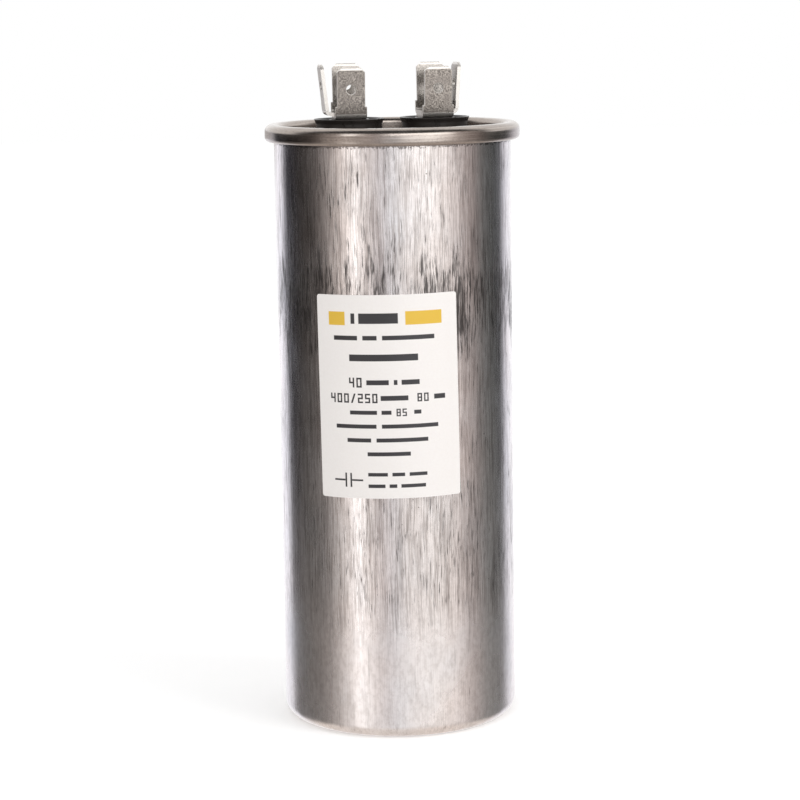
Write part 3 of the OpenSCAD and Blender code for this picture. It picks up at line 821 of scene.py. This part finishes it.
def add_surround():
    """A dome of soft light and dark flags that only reflections see.

    Its brightness changes with direction. Below the level of the can it grows paler, as the
    floor would, and above it two softboxes lie under a dark ceiling in front.
    """
    work = bmesh.new()
    bmesh.ops.create_uvsphere(work, u_segments=96, v_segments=48, radius=SURROUND_R)
    dome = as_object(work, "studio_surround")
    made = bpy.data.materials.new("studio_surround")
    made.use_nodes = True
    made.node_tree.nodes.clear()
    add = partial(add_node, made.node_tree)
    place = add("TexCoord", {}).outputs["Object"]
    # The camera's side is turned CAMERA_TURN from -Y towards -X
    faced = add("VectorRotate", {"rotation_type": "Z_AXIS"}, vector=place, angle=CAMERA_TURN)
    apart = add("SeparateXYZ", {}, faced).outputs
    angle = add("Math", {"operation": "ARCTAN2"}, apart["X"], add("Math", TIMES, apart["Y"], -1.0))
    degrees = add("Math", TIMES, angle, 360 / math.tau)
    sine = add("Math", {"operation": "DIVIDE"}, apart["Z"], SURROUND_R)
    rise = add("Math", TIMES, add("Math", {"operation": "ARCSINE"}, sine), 360 / math.tau)
    light = add("ValToRGB", {}, add("MapRange", EVEN, angle, -math.pi, math.pi))
    stops = light.color_ramp.elements
    while len(stops) < len(SURROUND):
        stops.new(1.0)
    for stop, (direction, level, tint) in zip(stops, SURROUND):
        stop.position = (direction + 180) / 360
        stop.color = lit(level, tint)

    pale = add("MapRange", EASED, rise, -12, -16.5, 0.0, 0.22)
    light = add("Mix", COLOUR, pale, light, lit(0.95, "#fffaf6"))
    # The bench is duller low on the right, and the left box starts above the level of the lid
    dull = add("MapRange", EASED, rise, -7, -11, 0.0, 0.75)
    dull = add("Math", TIMES, dull, within(add, degrees, 2, 58, soft=8))
    light = add("Mix", COLOUR, dull, light, lit(0.72, "#fff6f0"))
    dim = add("MapRange", EASED, rise, -3.6, -2.4, 0.0, 0.6)
    dim = add("Math", TIMES, dim, within(add, degrees, -58, -28, soft=6))
    light = add("Mix", COLOUR, dim, light, lit(0.4, "#fff0ea"))
    # A strip light stands low on the left, and the bench below all of it is evenly lit
    strip = add("MapRange", EASED, rise, -10.5, -13)
    strip = add("Math", TIMES, strip, add("MapRange", EASED, rise, -14, -17, 1.0, 0.6))
    strip = add("Math", TIMES, strip, within(add, degrees, -43, -35, soft=2))
    light = add("Mix", COLOUR, strip, light, lit(2.6))
    light = add("Mix", COLOUR, add("MapRange", EASED, rise, -28, -50), light, lit(0.9, "#fff4ec"))
    # The backdrop is in shade level with the blades
    shade = add("MapRange", EASED, rise, -2.8, -1.4)
    shade = add("Math", TIMES, shade, add("MapRange", EASED, rise, 6, 3, 0.0, 0.85))
    shade = add("Math", TIMES, shade, within(add, degrees, -172, -140, soft=6))
    light = add("Mix", COLOUR, shade, light, lit(0.6, "#fff8f4"))
    # Two softboxes in front, under a dark ceiling, and the high backdrop behind
    boxes = either(add, [within(add, degrees, -46, -31, soft=5), within(add, degrees, -4, 56, soft=6)])
    boxes = add("Math", TIMES, boxes, add("MapRange", EASED, rise, 5, 11))
    light = add("Mix", COLOUR, boxes, light, lit(3.2))
    front = within(add, degrees, -98, 98, soft=10)
    ceiling = add("Math", TIMES, front, add("MapRange", EASED, rise, 30, 40))
    light = add("Mix", COLOUR, ceiling, light, lit(0.12))
    behind = add("Math", TIMES, add("Math", LESS, 1.0, front), add("MapRange", EASED, rise, 2, 10))
    light = add("Mix", COLOUR, behind, light, lit(1.35))
    glow = add("Emission", {}, color=light, strength=SURROUND_PEAK)
    add("OutputMaterial", {}, surface=glow)
    dome.data.materials.append(made)
    dome.visible_camera = False
    dome.visible_diffuse = False
    dome.visible_shadow = False
    dome.visible_transmission = False


def looked_at(add):
    """1 for what the camera sees, by itself or through a reflection or glass, else 0."""
    rays = add("LightPath", {}).outputs
    seen = [rays[f"Is {kind} Ray"] for kind in ("Camera", "Glossy", "Transmission")]
    return either(add, seen)


# Lights: name, place in metres and power in watts; all are aimed at the middle of the can
LIGHTS = (
    ("key", (0.6, -0.6, 0.6), 2.45),
    ("fill", (-0.6, -0.6, 0.5), 0.45),
)
LIGHT_AIM = Vector((0, 0, 0.07))
LIGHT_SIZE = 0.5
WORLD_FILL = 0.78
FLOOR_GLOW = 0.23
FLOOR_HALF = 2.5
FLOOR_GAP = 0.05 * MM


def add_floor():
    """A plain pale floor that keeps the can's soft shadow; reflections see the surround."""
    work = bmesh.new()
    bmesh.ops.create_grid(work, x_segments=1, y_segments=1, size=FLOOR_HALF)
    bmesh.ops.translate(work, vec=(0, 0, -FLOOR_GAP), verts=work.verts)
    floor = as_object(work, "floor")
    made, add, skin, _ = new_material("pale_floor")
    # A little glow where the floor is looked at makes it white, and the can's shadow stays
    glow = add("Math", TIMES, looked_at(add), FLOOR_GLOW)
    skin(base_color="#ffffff", roughness=0.9, specular_ior_level=0.0)
    skin(emission_color="#ffffff", emission_strength=glow)
    floor.data.materials.append(made)
    floor.visible_glossy = False


def add_light(name, place, power):
    """A square soft light at a place, turned to its aim."""
    data = bpy.data.lights.new(name, "AREA")
    data.shape = "SQUARE"
    data.size = LIGHT_SIZE
    data.energy = power
    light = bpy.data.objects.new(name, data)
    bpy.context.scene.collection.objects.link(light)
    light.location = place
    light.rotation_mode = "QUATERNION"
    light.rotation_quaternion = (LIGHT_AIM - Vector(place)).to_track_quat("-Z", "Y")
    light.visible_glossy = False


def add_world():
    """White behind the can, to the eye and in reflections, and a soft fill for everything else."""
    world = bpy.data.worlds.new("studio")
    world.use_nodes = True
    bpy.context.scene.world = world
    world.node_tree.nodes.clear()
    add = partial(add_node, world.node_tree)
    soft = add("Background", {}, color="#ffffff", strength=WORLD_FILL)
    white = add("Background", {}, color="#ffffff", strength=1.0)
    both = add("MixShader", {}, looked_at(add), soft, white)
    add("OutputWorld", {}, surface=both)


def build_studio():
    """Camera, surround, floor, lights and backdrop."""
    add_camera()
    add_surround()
    add_floor()
    add_world()
    for name, place, power in LIGHTS:
        add_light(name, place, power)
    bpy.context.scene.view_settings.view_transform = "Standard"


build_shell()
build_terminals()
dress_inside()
build_studio()
